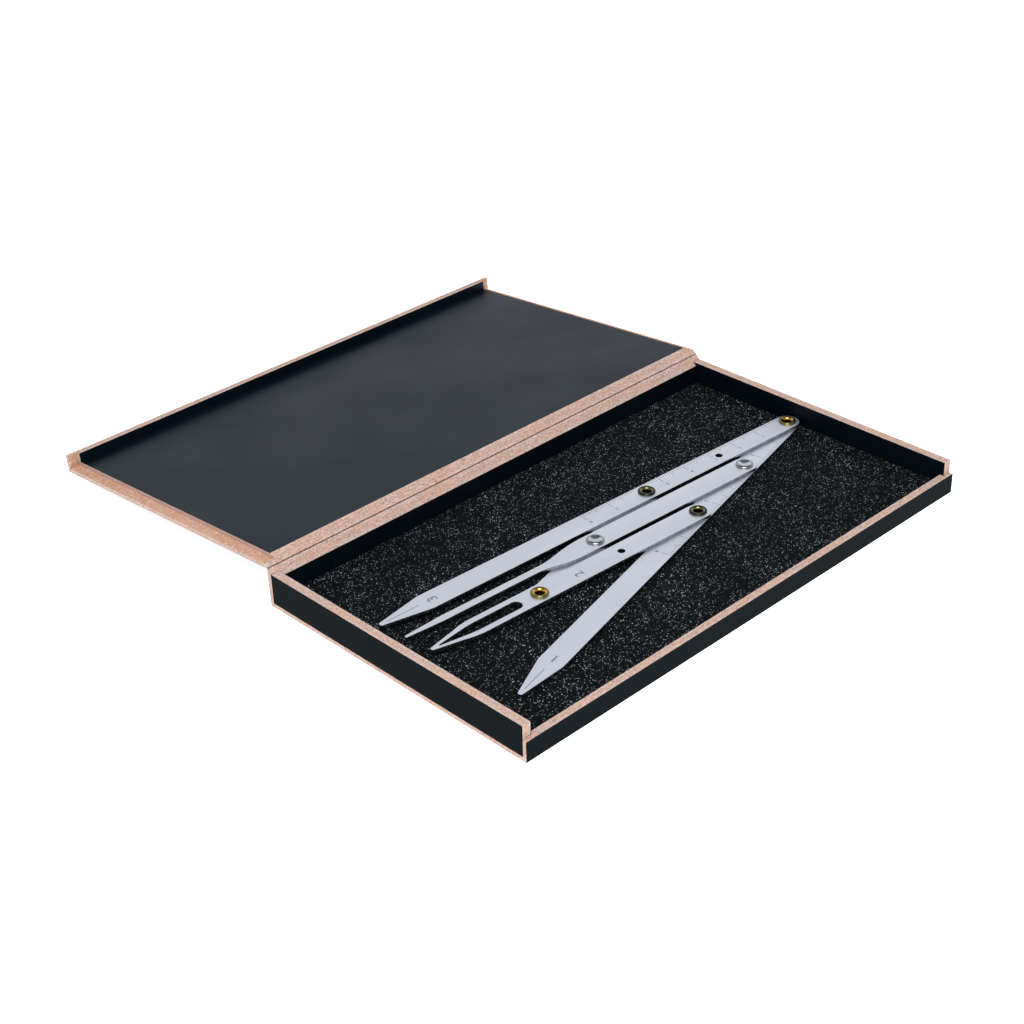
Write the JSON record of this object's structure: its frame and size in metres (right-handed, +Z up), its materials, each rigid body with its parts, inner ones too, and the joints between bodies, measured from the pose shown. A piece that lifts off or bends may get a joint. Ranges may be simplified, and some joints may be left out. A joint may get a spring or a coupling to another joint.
{
  "type": "boxed golden-ratio divider",
  "caption": "Golden-ratio divider of flat pivoted steel bars, lying on foam in a low black fibreboard box with raw edges and a fold-back lid.",
  "frame": {"origin": "middle of the tray's underside, on the face that rests on the table", "axes": "+X along the box's long side, +Y from the tray's low front wall towards the hinge and the open lid, +Z up"},
  "size_m": [0.171, 0.1941, 0.014],
  "materials": {
    "fibreboard": "raw cut edge",
    "black_laminate": "satin",
    "black_foam": "coarse open foam",
    "satin_steel": "satin",
    "bright_brass": "polished",
    "dark_brass": "darkened",
    "polished_steel": "polished"
  },
  "bodies": {
    "tray": {"base_board": "fibreboard", "base_outer_skin": "black_laminate", "base_liner": "black_laminate", "front_board": "fibreboard", "front_outer_skin": "black_laminate", "front_liner": "black_laminate", "back_board": "fibreboard", "back_outer_skin": "black_laminate", "back_liner": "black_laminate", "left_end_board": "fibreboard", "left_end_outer_skin": "black_laminate", "left_end_liner": "black_laminate", "right_end_board": "fibreboard", "right_end_outer_skin": "black_laminate", "right_end_liner": "black_laminate", "foam_pad": "black_foam"},
    "lid": {"lid_board": "fibreboard", "lid_outer_skin": "black_laminate", "lid_liner": "black_laminate", "lip_board": "fibreboard", "lip_outer_skin": "black_laminate", "lip_liner": "black_laminate"},
    "lower_arm": {"lower_arm": "satin_steel", "main_eyelet": "bright_brass", "single_prong_rivet": "polished_steel", "slotted_prong_eyelet": "dark_brass"},
    "upper_arm": {"upper_arm": "satin_steel", "upper_link_eyelet": "dark_brass"},
    "single_prong": {"single_prong": "satin_steel", "middle_link_rivet": "polished_steel"},
    "slotted_prong": {"slotted_prong": "satin_steel", "end_link_eyelet": "bright_brass"},
    "link_bar": {"link_bar": "satin_steel"}
  },
  "joints": [
    {"name": "lid_hinge", "type": "hinge", "parent": "tray", "child": "lid", "pos_m": [0, 0.0485, 0.0117], "axis": [1, 0, 0], "range_deg": [-1.8, 184.9]},
    {"name": "divider_lift", "type": "slide", "parent": "tray", "child": "lower_arm", "axis": [0, 0, 1], "range_m": [0, 0.06]},
    {"name": "main_pivot", "type": "hinge", "parent": "lower_arm", "child": "upper_arm", "pos_m": [0.0781, 0.0057, 0.0053], "axis": [0, 0, -1], "range_deg": [-2.5, 11.3]},
    {"name": "single_prong_pivot", "type": "hinge", "parent": "lower_arm", "child": "single_prong", "pos_m": [0.04933, -0.00168, 0.0053], "axis": [0, 0, -1], "range_deg": [-2.5, 11.3]},
    {"name": "slotted_prong_pivot", "type": "hinge", "parent": "lower_arm", "child": "slotted_prong", "pos_m": [0.02056, -0.00905, 0.0053], "axis": [0, 0, -1], "range_deg": [-2.5, 11.3]},
    {"name": "link_pivot", "type": "hinge", "parent": "upper_arm", "child": "link_bar", "pos_m": [0.01878, 0.00865, 0.0053], "axis": [0, 0, -1], "range_deg": [-11.3, 2.5]}
  ],
  "couplings": [
    {"joint": "single_prong_pivot", "follows": "main_pivot", "ratio": 1},
    {"joint": "slotted_prong_pivot", "follows": "main_pivot", "ratio": 1},
    {"joint": "link_pivot", "follows": "main_pivot", "ratio": -1}
  ]
}
